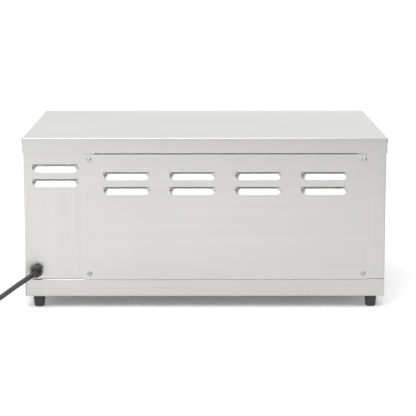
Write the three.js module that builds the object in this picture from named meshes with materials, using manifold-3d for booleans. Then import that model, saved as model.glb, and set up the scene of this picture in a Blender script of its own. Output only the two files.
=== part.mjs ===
// Counter-top rotisserie oven in folded stainless sheet, with its control bay at the right.
// Millimetres. X runs to the right as seen from the front, Y to the rear, Z up, feet at z = 0.
import * as THREE from "three";
import { mergeVertices } from "three/addons/utils/BufferGeometryUtils.js";
import Module from "manifold-3d";

const wasm = await Module();
wasm.setup();

// ---- Driving dimensions -------------------------------------------------------------------

const gap = 0.3; // clearance between pieces that touch
const sheet = 1.2; // stainless sheet
const thin = 1.0; // cover, tray and guide sheet

const width = 579; // casing over its side panels
const depth = 427; // casing from the front frame to the rear flanges
const lidWidth = 582;
const lidDepth = 430;
const footHeight = 19;
const footInset = { x: 20.5, y: 20 }; // of a foot's axis from the casing's corner
const baseTop = 48; // top of the base tray
const lidBottom = 251.5; // lower edge of the lid's skirt
const lidTop = 277;

const side = width / 2;
const back = depth / 2;
const front = -depth / 2;
const bodyBottom = baseTop + gap;
const bodyTop = lidTop - sheet - gap;
const floorTop = footHeight + sheet; // inside of the base tray's floor

const cavity = { left: -250, right: 170, rear: 168, top: 245 };
const mouth = { bottom: 55, top: 237 }; // of the cavity, in the front frame
const partitionX = 186; // face of the wall between the cavity and the control bay
const rightFlangeEdge = 177; // inner edge of the right panel's rear flange
const leftFlangeEdge = -244.3;

const cover = { left: -260.4, right: 193, bottom: 47, top: 250 };
const coverScrews = { left: -254.5, right: 185.5, low: 56.5, high: 241.7 };
const lidScrew = { y: 198, z: 269 };
const screwHole = 2.4; // radius

const louvre = { length: 74.5, height: 12.8, depth: 5.6, ramp: 6.4 };
const coverLouvres = { firstX: 125.25, pitch: 105.2, columns: 4, tops: [221.1, 197.4] };
const bayLouvres = { x: 239, tops: [233.5, 209.8] };

const door = { left: -270, right: 186, bottom: 51, top: 249, thickness: 22, standOff: 2 };
const doorOuter = front - door.standOff - door.thickness; // outer face
const doorInner = front - door.standOff;
const window = { left: -222, right: 138, bottom: 87, top: 209 };
const hinge = { y: doorOuter + 4.2, z: door.bottom + 5, pin: 2.5 };
const handle = { z: 227, reach: 32, radius: 7, wall: 1.3, left: -230, right: 146, postInset: 25 };

const fascia = { left: 192, right: side, bottom: bodyBottom, top: lidBottom - gap };
const controlX = (fascia.left + fascia.right) / 2;
const knobZ = { temperature: 210, timer: 148 };
const lampZ = 179;
const lampOffset = 16;
const switchZ = 93;

const spit = { y: (front + cavity.rear) / 2, z: 150, half: 4, journal: 3.5 };
const coupling = { left: 150, right: partitionX + 1.4, radius: 8 };
const element = { radius: 3.5, halfSpan: 65, left: -222, right: 197, upperZ: 231, lowerZ: 65, bend: 28 };

const tray = { left: -245, right: 165, rear: 150, top: 41, lipTop: 46 };

const gland = { x: 271, z: 62.2, length: 22, width: 19 };

const cord = { radius: 4, slack: 1.5, end: [369.5, 289.2, 5] }; // slack: where the tube meets the coil
const coil = { x: 400, y: 239, inner: 42, outer: 50.4, height: 24.9, lift: 0.2, exitZ: 20.6 };
const plug = { y: 186.4, z: 18.7 };

// The whole assembly stands with the middle of its bounding box over the origin.
const handleFront = doorOuter - handle.reach - handle.radius;
const glandRear = back + gap + gland.length;
const middleY = (handleFront + glandRear) / 2;

// ---- Materials ----------------------------------------------------------------------------

const paint = (color, roughness, metalness) =>
  new THREE.MeshStandardMaterial({ color, roughness, metalness });
const stainless = paint(0xd8dadb, 0.38, 0.9);
const galvanised = paint(0xa9adb0, 0.5, 0.8);
const chrome = paint(0xc9cccf, 0.2, 1);
const dullSteel = paint(0x6d6a67, 0.55, 0.9);
const blackPlastic = paint(0x17181a, 0.45, 0);
const rubber = paint(0x1b1b1c, 0.8, 0);
const glass = paint(0x9fb0b4, 0.05, 0);
const brass = paint(0xb59a5b, 0.4, 0.9);
const redLens = paint(0xb8231c, 0.2, 0);
const amberLens = paint(0xd98a1e, 0.2, 0);
const ivory = paint(0xe2dccb, 0.6, 0);

// ---- Shapes -------------------------------------------------------------------------------

const solid = (geometry) => {
  const bare = geometry.index ? geometry.toNonIndexed() : geometry.clone();
  bare.deleteAttribute("normal");
  bare.deleteAttribute("uv");
  const merged = mergeVertices(bare, 1e-3);
  const vertProperties = merged.attributes.position.array;
  return new wasm.Manifold(
    new wasm.Mesh({ numProp: 3, vertProperties, triVerts: new Uint32Array(merged.index.array) }),
  );
};

const geometryOf = (body) => {
  const mesh = body.getMesh();
  return new THREE.BufferGeometry()
    .setAttribute("position", new THREE.BufferAttribute(new Float32Array(mesh.vertProperties), 3))
    .setIndex(new THREE.BufferAttribute(new Uint32Array(mesh.triVerts), 1));
};

const join = (...pieces) => geometryOf(pieces.map(solid).reduce((a, b) => a.add(b)));
const cut = (piece, ...tools) => geometryOf(tools.map(solid).reduce((a, b) => a.subtract(b), solid(piece)));

const box = (x0, x1, y0, y1, z0, z1) =>
  new THREE.BoxGeometry(x1 - x0, y1 - y0, z1 - z0).translate((x0 + x1) / 2, (y0 + y1) / 2, (z0 + z1) / 2);

// A solid of revolution about the X, Y or Z axis; its profile is a list of [radius, position].
function turned(axis, profile, sides) {
  const rising = profile[0][1] <= profile.at(-1)[1];
  const points = (rising ? profile : profile.toReversed()).map(([r, t]) => new THREE.Vector2(r, t));
  const shape = new THREE.LatheGeometry(points, sides);
  if (axis === "x") shape.rotateZ(-Math.PI / 2);
  if (axis === "z") shape.rotateX(Math.PI / 2);
  return shape;
}

const rod = (axis, radius, from, to, sides = 16) =>
  turned(axis, [[0, from], [radius, from], [radius, to], [0, to]], sides);

// A prism along X whose outline is a list of [y, z].
function prismX(outline, x0, x1) {
  const shape = new THREE.Shape(outline.map(([y, z]) => new THREE.Vector2(y, z)));
  const turn = new THREE.Matrix4().makeBasis(
    new THREE.Vector3(0, 1, 0),
    new THREE.Vector3(0, 0, 1),
    new THREE.Vector3(1, 0, 0),
  );
  return new THREE.ExtrudeGeometry(shape, { depth: x1 - x0, bevelEnabled: false })
    .applyMatrix4(turn)
    .translate(x0, 0, 0);
}

// A round tube along a smooth curve through the points.
function tube(points, radius, sides, steps) {
  const section = new THREE.Shape(
    Array.from({ length: sides }, (_, i) => {
      const angle = (2 * Math.PI * i) / sides;
      return new THREE.Vector2(radius * Math.cos(angle), radius * Math.sin(angle));
    }),
  );
  const extrudePath = new THREE.CatmullRomCurve3(points.map((p) => new THREE.Vector3(...p)));
  return new THREE.ExtrudeGeometry(section, { steps, bevelEnabled: false, extrudePath });
}

function part(parent, name, geometry, material, at = [0, 0, 0]) {
  const mesh = new THREE.Mesh(geometry, material);
  mesh.name = name;
  mesh.position.set(...at);
  parent.add(mesh);
  return mesh;
}

function group(parent) {
  const made = new THREE.Group();
  parent.add(made);
  return made;
}

// ---- Louvres ------------------------------------------------------------------------------

// A louvre is sheared along its top edge and pressed inwards, with a ramp below and closed ends.
function withLouvres(panel, face, thickness, places) {
  const pans = [];
  const openings = [];
  for (const [x, top] of places) {
    const x0 = x - louvre.length / 2;
    const x1 = x + louvre.length / 2;
    const bottom = top - louvre.height;
    const deep = face - louvre.depth;
    const skin = [
      [face, bottom - thickness],
      [face, top],
      [deep - thickness, top],
      [deep - thickness, bottom + louvre.ramp - thickness],
      [face - thickness, bottom - thickness],
    ];
    const hollow = [
      [face + 1, bottom],
      [face + 1, top + 1],
      [deep, top + 1],
      [deep, bottom + louvre.ramp],
      [face, bottom],
    ];
    pans.push(cut(prismX(skin, x0 - thickness, x1 + thickness), prismX(hollow, x0, x1)));
    openings.push(box(x0, x1, face - 2 * thickness, face + 1, bottom, top));
  }
  return join(cut(panel, ...openings), ...pans);
}

// ---- Casing -------------------------------------------------------------------------------

function addLid(parent) {
  const [x, y] = [lidWidth / 2, lidDepth / 2];
  const shell = cut(
    box(-x, x, -y, y, lidBottom, lidTop),
    box(-x + sheet, x - sheet, -y + sheet, y - sheet, lidBottom - 1, lidTop - sheet),
    rod("x", screwHole, -x - 1, x + 1, 8).translate(0, lidScrew.y, lidScrew.z),
  );
  part(parent, "lid", shell, stainless);
}

// A side wall with a rear flange that ends at flangeEdge, and a narrow flange under the lid.
function sidePanel(sign, flangeEdge) {
  const wall = [sign * side, sign * (side - sheet)].sort((a, b) => a - b);
  const flange = [sign * side, flangeEdge].sort((a, b) => a - b);
  const ledge = [sign * side, sign * (side - 18)].sort((a, b) => a - b);
  const screwX = sign > 0 ? coverScrews.right : coverScrews.left;
  const folded = join(
    box(...wall, front, back, bodyBottom, bodyTop),
    box(...flange, back - sheet, back, bodyBottom, bodyTop),
    box(...ledge, front + 14, back - 14, bodyTop - sheet, bodyTop),
  );
  const screws = [coverScrews.low, coverScrews.high].map((z) =>
    rod("y", screwHole, back - 4, back + 1, 8).translate(screwX, 0, z),
  );
  const lidHole = rod("x", screwHole, wall[0] - 1, wall[1] + 1, 8).translate(0, lidScrew.y, lidScrew.z);
  return cut(folded, lidHole, ...screws);
}

function addSidePanels(parent) {
  part(parent, "left_side_panel", sidePanel(-1, leftFlangeEdge), stainless);
  const places = bayLouvres.tops.map((top) => [bayLouvres.x, top]);
  const glandHole = rod("y", 8.4, back - 4, back + 1, 16).translate(gland.x, 0, gland.z);
  const panel = cut(withLouvres(sidePanel(1, rightFlangeEdge), back, sheet, places), glandHole);
  part(parent, "right_side_panel", panel, stainless);
}

function addRearCover(parent) {
  const face = back + gap + thin;
  const { firstX, pitch, columns, tops } = coverLouvres;
  const places = tops.flatMap((top) =>
    Array.from({ length: columns }, (_, i) => [firstX - i * pitch, top]),
  );
  const plate = box(cover.left, cover.right, back + gap, face, cover.bottom, cover.top);
  const holes = [];
  for (const x of [coverScrews.left, coverScrews.right])
    for (const z of [coverScrews.low, coverScrews.high])
      holes.push(rod("y", screwHole, face - 2, face + 1, 8).translate(x, 0, z));
  part(parent, "rear_cover", cut(withLouvres(plate, face, thin, places), ...holes), stainless);
}

// A pan-head screw along +Z from the face that its head rests on.
const panHead = () =>
  turned("z", [[0, -7.5], [1.9, -7.5], [1.9, gap], [3.9, gap], [3.7, 1.6], [2.4, 2.5], [0, 2.7]], 12);

function addScrews(parent) {
  const face = back + gap + thin;
  for (const [sideName, x] of [["left", coverScrews.left], ["right", coverScrews.right]])
    for (const [height, z] of [["lower", coverScrews.low], ["upper", coverScrews.high]]) {
      const name = `rear_cover_screw_${height}_${sideName}`;
      const screw = part(parent, name, panHead(), galvanised, [x, face, z]);
      screw.rotation.x = -Math.PI / 2;
    }
  for (const [sideName, sign] of [["left", -1], ["right", 1]]) {
    const at = [(sign * lidWidth) / 2, lidScrew.y, lidScrew.z];
    const screw = part(parent, `lid_screw_${sideName}`, panHead(), galvanised, at);
    screw.rotation.y = (sign * Math.PI) / 2;
  }
}

function addFrontFrame(parent) {
  const edge = side - sheet - gap;
  const bracketSlot = (x) => box(x - 1.8, x + 1.8, front - 1, front + 3, baseTop + 0.7, hinge.z + 7.3);
  const frame = cut(
    box(-edge, edge, front, front + sheet, bodyBottom, bodyTop),
    box(cavity.left + 4, cavity.right - 4, front - 1, front + 3, mouth.bottom, mouth.top),
    box(200, 282, front - 1, front + 3, mouth.bottom + 10, mouth.top),
    bracketSlot(partitionX + 3),
    bracketSlot(door.left - 3.5),
  );
  part(parent, "front_frame", frame, stainless);
}

function addBaseTray(parent) {
  const lip = 12;
  const vents = Array.from({ length: 6 }, (_, i) => {
    const y = -130 + i * 50;
    return box(205, 265, y, y + 7, footHeight - 1, floorTop + 1);
  });
  const pan = cut(
    box(-side, side, front, back, footHeight, baseTop),
    box(-side + sheet, side - sheet, front + sheet, back - sheet, floorTop, baseTop - sheet),
    box(-side + lip, side - lip, front + lip, back - lip, floorTop, baseTop + 1),
    box(tray.left - 2, tray.right + 2, front - 1, front + 3, floorTop, tray.lipTop - 1),
    ...vents,
  );
  part(parent, "base_tray", pan, stainless);
}

function addFeet(parent) {
  const [x, y] = [side - footInset.x, back - footInset.y];
  const foot = () => {
    const rise = footHeight - gap;
    return turned("z", [[0, 0], [7.3, 0], [7.9, 0.8], [9.6, rise - 1.5], [9.9, rise], [0, rise]], 16);
  };
  for (const [sideName, sx] of [["left", -1], ["right", 1]])
    for (const [end, sy] of [["front", -1], ["rear", 1]])
      part(parent, `foot_${end}_${sideName}`, foot(), rubber, [sx * x, sy * y, 0]);
}

// ---- Cavity -------------------------------------------------------------------------------

const cavityFront = front + sheet + gap;

// A wall in the YZ plane, notched at the front, and at the rear if asked, to pass the base tray's lip.
function standingWall(x0, x1, rear, top, rearNotch) {
  const notch = front + 12.5;
  const outline = [
    [notch, floorTop + gap],
    [notch, bodyBottom],
    [cavityFront, bodyBottom],
    [cavityFront, top],
    [rear, top],
  ];
  if (rearNotch) outline.push([rear, bodyBottom], [back - 12.5, bodyBottom], [back - 12.5, floorTop + gap]);
  else outline.push([rear, floorTop + gap]);
  return prismX(outline.reverse(), x0, x1);
}

function addCavity(parent) {
  const { left, right, rear, top } = cavity;
  const legs = [spit.y - element.halfSpan, spit.y + element.halfSpan];
  const holeX = (radius, x, y, z, sides) => rod("x", radius, x - 2, x + 3, sides).translate(0, y, z);
  const elementHoles = (x) =>
    legs.flatMap((y) =>
      [element.lowerZ, element.upperZ].map((z) => holeX(element.radius + 0.8, x, y, z, 10)),
    );
  const driveHole = (x) => holeX(coupling.radius + 0.8, x, spit.y, spit.z, 16);
  const bearingHole = rod("x", 6.3, left - 3, left + 2, 16).translate(0, spit.y, spit.z);

  const leftWall = standingWall(left - sheet, left, rear, top);
  part(parent, "cavity_left_wall", cut(leftWall, bearingHole), stainless);
  const rightWall = standingWall(right, right + sheet, rear, top);
  part(parent, "cavity_right_wall", cut(rightWall, driveHole(right), ...elementHoles(right)), stainless);
  const rearWall = box(left + gap, right - gap, rear - sheet, rear, floorTop + gap, top);
  part(parent, "cavity_rear_wall", rearWall, stainless);
  const roof = box(left - sheet, right + sheet, cavityFront, rear, top + gap, top + gap + sheet);
  part(parent, "cavity_roof", roof, stainless);

  const rearEnd = back - 10.5;
  const wall = standingWall(partitionX, partitionX + sheet, rearEnd, bodyTop - 2, true);
  part(parent, "partition", cut(wall, driveHole(partitionX), ...elementHoles(partitionX)), galvanised);
}

function addElements(parent) {
  const { left, right, halfSpan, bend, radius } = element;
  for (const [name, z] of [["upper", element.upperZ], ["lower", element.lowerZ]]) {
    const half = Array.from({ length: 4 }, (_, i) => {
      const angle = (Math.PI / 6) * i;
      return [left + bend * (1 - Math.sin(angle)), halfSpan - bend * (1 - Math.cos(angle)), 0];
    });
    const arm = [[right, halfSpan, 0], [60, halfSpan, 0], [-80, halfSpan, 0], ...half, [left, 0, 0]];
    const mirrored = arm.slice(0, -1).reverse().map(([x, y]) => [x, -y, 0]);
    const shape = tube([...arm, ...mirrored], radius, 6, 44);
    part(parent, `${name}_element`, shape, dullSteel, [0, spit.y, z]);

    // An angle on the left wall that carries the bend of the element.
    const shelf = join(
      box(cavity.left + gap, left + 18, spit.y - 45, spit.y + 45, z - radius - 1.7, z - radius - 0.5),
      box(cavity.left + gap, cavity.left + gap + sheet, spit.y - 45, spit.y + 45, z - radius - 1.7, z + 9),
    );
    part(parent, `${name}_element_bracket`, shelf, galvanised);
  }
}

function addCrumbTray(parent) {
  const lipFront = front - 3;
  const [left, right, rear] = [tray.left + thin, tray.right - thin, tray.rear - thin];
  const pan = cut(
    box(tray.left, tray.right, front - 0.5, tray.rear, floorTop + gap, tray.top),
    box(left, right, front + 1, rear, floorTop + gap + thin, tray.top + 1),
  );
  const lip = box(tray.left - 4, tray.right + 4, lipFront, front - gap, floorTop + 2, tray.lipTop);
  part(parent, "crumb_tray", join(pan, lip), stainless);
}

// ---- Door ---------------------------------------------------------------------------------

function addDoor(parent) {
  const { left, right, bottom, top } = door;
  const aroundWindow = (margin, y0, y1) =>
    box(window.left - margin, window.right + margin, y0, y1, window.bottom - margin, window.top + margin);
  const opening = aroundWindow(0, doorOuter - 1, doorInner + 1);
  const pinHoles = rod("x", hinge.pin + 0.4, left - 1, right + 1, 12).translate(0, hinge.y, hinge.z);
  const outerFrame = cut(
    box(left, right, doorOuter, doorInner - sheet - gap, bottom, top),
    box(left + sheet, right - sheet, doorOuter + sheet, doorInner + 1, bottom + sheet, top - sheet),
    opening,
    pinHoles,
  );
  part(parent, "door_outer_frame", outerFrame, stainless);

  const glassRear = doorOuter + sheet + gap + 4;
  part(parent, "door_glass", aroundWindow(10, glassRear - 4, glassRear), glass);

  // The inner frame's window edge is folded forward to hold the glass.
  const fold = aroundWindow(sheet, glassRear + gap, doorInner);
  const plate = box(left, right, doorInner - sheet, doorInner, bottom, top);
  part(parent, "door_inner_frame", cut(join(plate, fold), opening), stainless);
}

function addHandle(parent) {
  // A closed tube, with a screw hole at its back for each post.
  const { left, right, radius, wall, postInset } = handle;
  const leftEnd = [[0, left], [radius - 1, left], [radius, left + 1.5]];
  const rightEnd = [[radius, right - 1.5], [radius - 1, right], [0, right]];
  const places = [["left", left + postInset], ["right", right - postInset]];
  const bar = cut(
    turned("x", [...leftEnd, ...rightEnd], 16),
    rod("x", radius - wall, left + wall, right - wall, 12),
    ...places.map(([, x]) => rod("y", 2.4, 0, radius + 1, 8).translate(x, 0, 0)),
  );
  part(parent, "handle_bar", bar, stainless, [0, doorOuter - handle.reach, handle.z]);
  for (const [name, x] of places) {
    const post = rod("y", radius - 1, -(handle.reach - radius - 2 * gap), 0, 14);
    part(parent, `handle_post_${name}`, post, blackPlastic, [x, doorOuter - gap, handle.z]);
  }
}

// Each bracket reaches out through a slot in the front frame and is bolted behind it.
function addHinges(parent) {
  const places = [["left", door.left - 3.5, -1], ["right", partitionX + 3, 1]];
  for (const [name, x, sign] of places) {
    const footEnds = [x, x + sign * 11].sort((a, b) => a - b);
    const inside = front + sheet + gap;
    const low = bodyBottom + 1;
    const high = hinge.z + 7;
    const plate = join(
      box(x - 1.3, x + 1.3, hinge.y - 6, inside + 1.5, low, high),
      box(...footEnds, inside, inside + 1.5, low, high),
    );
    const hole = rod("x", hinge.pin + 0.4, x - 3, x + 3, 12).translate(0, hinge.y, hinge.z);
    part(parent, `hinge_bracket_${name}`, cut(plate, hole), galvanised);
    const shank = rod("x", hinge.pin, -9, 1.6, 12);
    const head = rod("x", hinge.pin + 0.9, 1.6, 2.4, 12);
    const pin = part(parent, `hinge_pin_${name}`, join(shank, head), chrome, [x, hinge.y, hinge.z]);
    if (sign < 0) pin.rotation.z = Math.PI;
  }
}

// ---- Spit ---------------------------------------------------------------------------------

function addSpit(parent) {
  const line = group(parent);
  line.position.set(0, spit.y, spit.z);
  const h = spit.half;
  const shaft = join(
    box(cavity.left + 12, coupling.left + 14, -h, h, -h, h),
    rod("x", spit.journal, cavity.left - 5, cavity.left + 13, 12),
  );
  part(line, "spit_shaft", shaft, chrome);

  const socket = h + 0.4;
  const drive = cut(
    rod("x", coupling.radius, coupling.left, coupling.right, 16),
    box(coupling.left - 1, coupling.left + 16, -socket, socket, -socket, socket),
  );
  part(line, "drive_coupling", drive, dullSteel);

  const wallX = cavity.left;
  const bush = cut(
    join(rod("x", 6, wallX - 4, wallX + 1, 16), rod("x", 9, wallX + gap, wallX + 6, 16)),
    rod("x", spit.journal + 0.4, wallX - 5, wallX + 7, 12),
  );
  part(line, "spit_bearing", bush, brass);

  const motorX = partitionX + sheet + gap;
  const gearbox = box(motorX, motorX + 20, -30, 30, -26, 26);
  const motor = join(gearbox, rod("x", 24, motorX + 19, motorX + 44, 24));
  part(line, "gear_motor", motor, galvanised);

  for (const [name, x, turn] of [["left", -150, 0], ["right", 90, Math.PI]]) {
    const fork = part(line, `fork_${name}`, forkShape(), chrome, [x, 0, 0]);
    fork.rotation.z = turn;
    const screw = part(line, `fork_thumbscrew_${name}`, thumbscrewShape(), chrome, [x, 0, 0]);
    screw.rotation.z = turn;
  }
}

// A hub on the square shaft with a cross-bar and two pointed prongs along +X.
function forkShape() {
  const bore = spit.half + 0.4;
  const prong = (z) => turned("x", [[0, 0], [1.9, 0], [1.9, 56], [0, 66]], 8).translate(0, 0, z);
  const body = join(box(-8, 8, -8, 8, -8, 8), box(-2, 2, -5, 5, -21, 21), prong(18), prong(-18));
  return cut(body, box(-9, 9, -bore, bore, -bore, bore), rod("y", 2.9, 0, 9, 8));
}

function thumbscrewShape() {
  const tip = spit.half + 0.7;
  return turned("y", [[0, tip], [2.5, tip], [2.5, 9], [6.5, 9], [6.5, 14], [5.5, 15], [0, 15]], 12);
}

// ---- Controls -----------------------------------------------------------------------------

function addFascia(parent) {
  const { left, right, bottom, top } = fascia;
  const face = doorOuter;
  const bore = (radius, x, z) => rod("y", radius, face - 1, face + 3, 12).translate(x, 0, z);
  const panel = cut(
    box(left, right, face, front - gap, bottom, top),
    box(left + sheet, right - sheet, face + sheet, front + 1, bottom + sheet, top - sheet),
    bore(5, controlX, knobZ.temperature),
    bore(5, controlX, knobZ.timer),
    bore(4.4, controlX - lampOffset, lampZ),
    bore(4.4, controlX + lampOffset, lampZ),
    box(controlX - 25.4, controlX + 25.4, face - 1, face + 3, switchZ - 13.4, switchZ + 13.4),
  );
  part(parent, "control_fascia", panel, stainless);
}

// A round skirt with a grip bar across it, on a spindle that runs back into the control behind.
function knobShape() {
  return join(
    turned("y", [[0, 0], [3, 0], [3, -11], [19, -11], [20, -12], [20, -15], [17, -18], [0, -18]], 24),
    box(-6, 6, -32, -17, -17, 17),
  );
}

function addKnobsAndLamps(parent) {
  const face = doorOuter;
  const spindleTip = face + 10;
  part(parent, "temperature_knob", knobShape(), blackPlastic, [controlX, spindleTip, knobZ.temperature]);
  part(parent, "timer_knob", knobShape(), blackPlastic, [controlX, spindleTip, knobZ.timer]);

  // Thermostat and timer sit behind the fascia, each with a bore for its knob's spindle.
  for (const [name, z] of [["thermostat", knobZ.temperature], ["timer", knobZ.timer]]) {
    const rear = name === "timer" ? face + 50 : face + 38;
    const body = join(box(-19, 19, face + 3, rear, -19, 19), rod("y", 4.4, face - gap, face + 4, 12));
    const housing = cut(body, rod("y", 3.4, face - 1, spindleTip + 1, 12));
    part(parent, name, housing, galvanised, [controlX, 0, z]);
  }

  const dome = [[5.5, -gap], [5, -2.4], [3, -3.6], [0, -4]];
  const lens = () => turned("y", [[0, 14], [4, 14], [4, -gap], ...dome], 12);
  part(parent, "power_lamp", lens(), redLens, [controlX - lampOffset, face, lampZ]);
  part(parent, "heating_lamp", lens(), amberLens, [controlX + lampOffset, face, lampZ]);
}

function addSwitch(parent) {
  const face = doorOuter;
  const wells = [-12.4, 12.4];
  const bezel = cut(
    join(box(-28, 28, -2.2, -gap, -16, 16), box(-25, 25, -1, 20, -13, 13)),
    ...wells.map((x) => box(x - 10.6, x + 10.6, -3, 15, -11.6, 11.6)),
  );
  part(parent, "switch_bezel", bezel, blackPlastic, [controlX, face, switchZ]);
  const names = ["heat_rocker", "spit_rocker"];
  const outline = [[-4.2, -10.4], [9, -6], [9, 6], [-4.2, 10.4], [-2.2, 0]];
  wells.forEach((x, i) => {
    const rocker = prismX(outline, -9.9, 9.9);
    const mesh = part(parent, names[i], rocker, blackPlastic, [controlX + x, face + 2, switchZ]);
    mesh.rotation.x = THREE.MathUtils.degToRad(-8);
  });
}

function addWiringPieces(parent) {
  const floor = floorTop + gap;
  const block = join(
    box(222, 272, 150, 172, floor, floor + 10),
    ...[0, 1, 2].map((i) => box(225 + 16 * i, 237 + 16 * i, 153, 169, floor + 9, floor + 20)),
  );
  part(parent, "terminal_block", block, ivory);

  // The thermostat's sensing bulb, in two clips on the cavity's right wall.
  const wall = cavity.right - gap;
  const bulbZ = 205;
  const bulb = join(
    rod("y", 3, 40, 140, 10).translate(wall - 5, 0, bulbZ),
    ...[55, 120].map((y) => box(wall - 5, wall, y, y + 6, bulbZ - 2, bulbZ + 2)),
  );
  part(parent, "thermostat_bulb", bulb, brass);
}

// ---- Cord ---------------------------------------------------------------------------------

function addGland(parent) {
  const hexRadius = gland.width / Math.sqrt(3);
  const nut = turned("y", [[0, gap], [hexRadius, gap], [hexRadius, 10], [0, 10]], 6);
  const cap = [[9.3, 9], [9, 14], [7, 19.4], [6, 22.3], [0, 22.3]];
  const dome = turned("y", [[0, -7], [7.9, -7], [7.9, 1], ...cap], 20);
  part(parent, "cord_gland", join(nut, dome), blackPlastic, [gland.x, back, gland.z]);
}

function addCord(parent) {
  const start = glandRear + gap;
  const route = [
    [gland.x, start, gland.z],
    [271.1, 243, 62.4],
    [272.6, 251.5, 62.2],
    [275.6, 259.2, 61.2],
    [279.9, 265.6, 59.3],
    [286, 271.2, 56],
    [293.6, 275.2, 51.3],
    [302.6, 277.6, 45.2],
    [318, 280, 34.2],
    [332, 282.3, 24.6],
    [345, 284.9, 16.2],
    [354, 286.9, 10.9],
    [361.5, 288.3, 7.3],
    cord.end,
  ];
  part(parent, "power_cord", tube(route, cord.radius, 8, 36), blackPlastic);

  // The coil's outer shape, with the stretches that enter it and leave it for the plug.
  const top = coil.lift + coil.height;
  const [inner, outer] = [coil.inner - cord.radius - 0.2, coil.outer + cord.radius + 0.2];
  const ring = new THREE.LatheGeometry(
    [[inner, coil.lift], [outer, coil.lift], [outer, top], [inner, top], [inner, coil.lift]].map(
      ([r, z]) => new THREE.Vector2(r, z),
    ),
    28,
  ).rotateX(Math.PI / 2);
  const entry = rod("x", cord.radius, cord.end[0] + cord.slack - coil.x, 0, 8);
  entry.translate(0, coil.outer, cord.end[2]);
  const leaving = rod("y", cord.radius, plug.y + gap - coil.y, 0, 8);
  leaving.translate(coil.outer, 0, coil.exitZ - 0.6);
  part(parent, "cord_coil", join(ring, entry, leaving), blackPlastic, [coil.x, coil.y, 0]);

  const body = turned(
    "y",
    [[0, 0], [5.5, 0], [7, -18], [13, -22], [18.4, -34], [18.4, -52], [0, -52]],
    16,
  );
  const pin = (x) => turned("y", [[0, -51], [2.4, -51], [2.4, -70], [0, -71]], 8).translate(x, 0, 0);
  const at = [coil.x + coil.outer, plug.y, plug.z];
  part(parent, "plug", join(body, pin(-9.5), pin(9.5)), blackPlastic, at);
}

// ---- Assembly -----------------------------------------------------------------------------

const oven = new THREE.Group();
const assembly = group(oven);
assembly.position.y = -middleY;

addLid(assembly);
addSidePanels(assembly);
addRearCover(assembly);
addScrews(assembly);
addFrontFrame(assembly);
addBaseTray(assembly);
addFeet(assembly);
addCavity(assembly);
addElements(assembly);
addCrumbTray(assembly);
addDoor(assembly);
addHandle(assembly);
addHinges(assembly);
addSpit(assembly);
addFascia(assembly);
addKnobsAndLamps(assembly);
addSwitch(assembly);
addWiringPieces(assembly);
addGland(assembly);
addCord(assembly);

export default oven;
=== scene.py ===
"""The looks of a counter-top rotisserie oven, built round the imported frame.

Shapes are worked out in millimetres in the frame's own axes: +X to the right as seen from the
front, +Y to the rear, +Z up. Each piece is turned into metres as it is made.
"""

from math import atan2, ceil, cos, degrees, pi, radians, sin, sqrt, tan

import bmesh
import bpy
from mathutils import Matrix, Vector


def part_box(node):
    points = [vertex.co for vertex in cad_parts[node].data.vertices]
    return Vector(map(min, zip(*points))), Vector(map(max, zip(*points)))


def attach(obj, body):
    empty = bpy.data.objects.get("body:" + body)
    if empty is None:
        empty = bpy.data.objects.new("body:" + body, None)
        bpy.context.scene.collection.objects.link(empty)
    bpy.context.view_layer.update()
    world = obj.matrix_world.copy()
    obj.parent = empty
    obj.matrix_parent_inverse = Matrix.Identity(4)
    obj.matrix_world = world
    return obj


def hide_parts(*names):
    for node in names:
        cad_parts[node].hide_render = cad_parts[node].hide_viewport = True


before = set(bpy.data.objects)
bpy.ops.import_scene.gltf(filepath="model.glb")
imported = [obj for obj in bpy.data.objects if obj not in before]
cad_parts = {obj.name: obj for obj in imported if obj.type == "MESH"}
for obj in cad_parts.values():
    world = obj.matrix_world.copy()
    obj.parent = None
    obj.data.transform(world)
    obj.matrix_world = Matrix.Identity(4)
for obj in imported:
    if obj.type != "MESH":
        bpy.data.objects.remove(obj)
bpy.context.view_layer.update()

MM = 0.001
SHEET = 1.2  # thickness of the stainless sheet
BEND = 2.2  # outer radius of a folded edge
scene = bpy.context.scene


def span(node):
    """x0, x1, y0, y1, z0, z1 of a CAD node, in millimetres."""
    low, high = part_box(node)
    return [value / MM for pair in zip(low, high) for value in pair]


def middle(node):
    """The middle of a CAD node's box, in millimetres."""
    x0, x1, y0, y1, z0, z1 = span(node)
    return Vector(((x0 + x1) / 2, (y0 + y1) / 2, (z0 + z1) / 2))


# ---- Camera and stage


CAMERA_AT = (0.0073, 2.976, 0.5923)  # metres
CAMERA_DOWN, CAMERA_ASIDE = 8.892, -0.252  # degrees from level, and from straight towards -Y
CAMERA_SENSOR, CAMERA_LENS = 36, 149.94
CAMERA_CLIP = 0.05, 200


def add_camera():
    """It stands behind the oven, a little above it, and looks down at its rear."""
    data = bpy.data.cameras.new("camera")
    data.sensor_width = CAMERA_SENSOR
    data.lens = CAMERA_LENS
    data.clip_start, data.clip_end = CAMERA_CLIP
    camera = bpy.data.objects.new("camera", data)
    pitch, yaw = radians(CAMERA_DOWN), radians(CAMERA_ASIDE)
    forward = Vector((sin(yaw) * cos(pitch), -cos(yaw) * cos(pitch), -sin(pitch)))
    camera.location = CAMERA_AT
    camera.rotation_euler = forward.to_track_quat("-Z", "Y").to_euler()
    scene.collection.objects.link(camera)
    scene.camera = camera


# ---- Outlines


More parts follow.
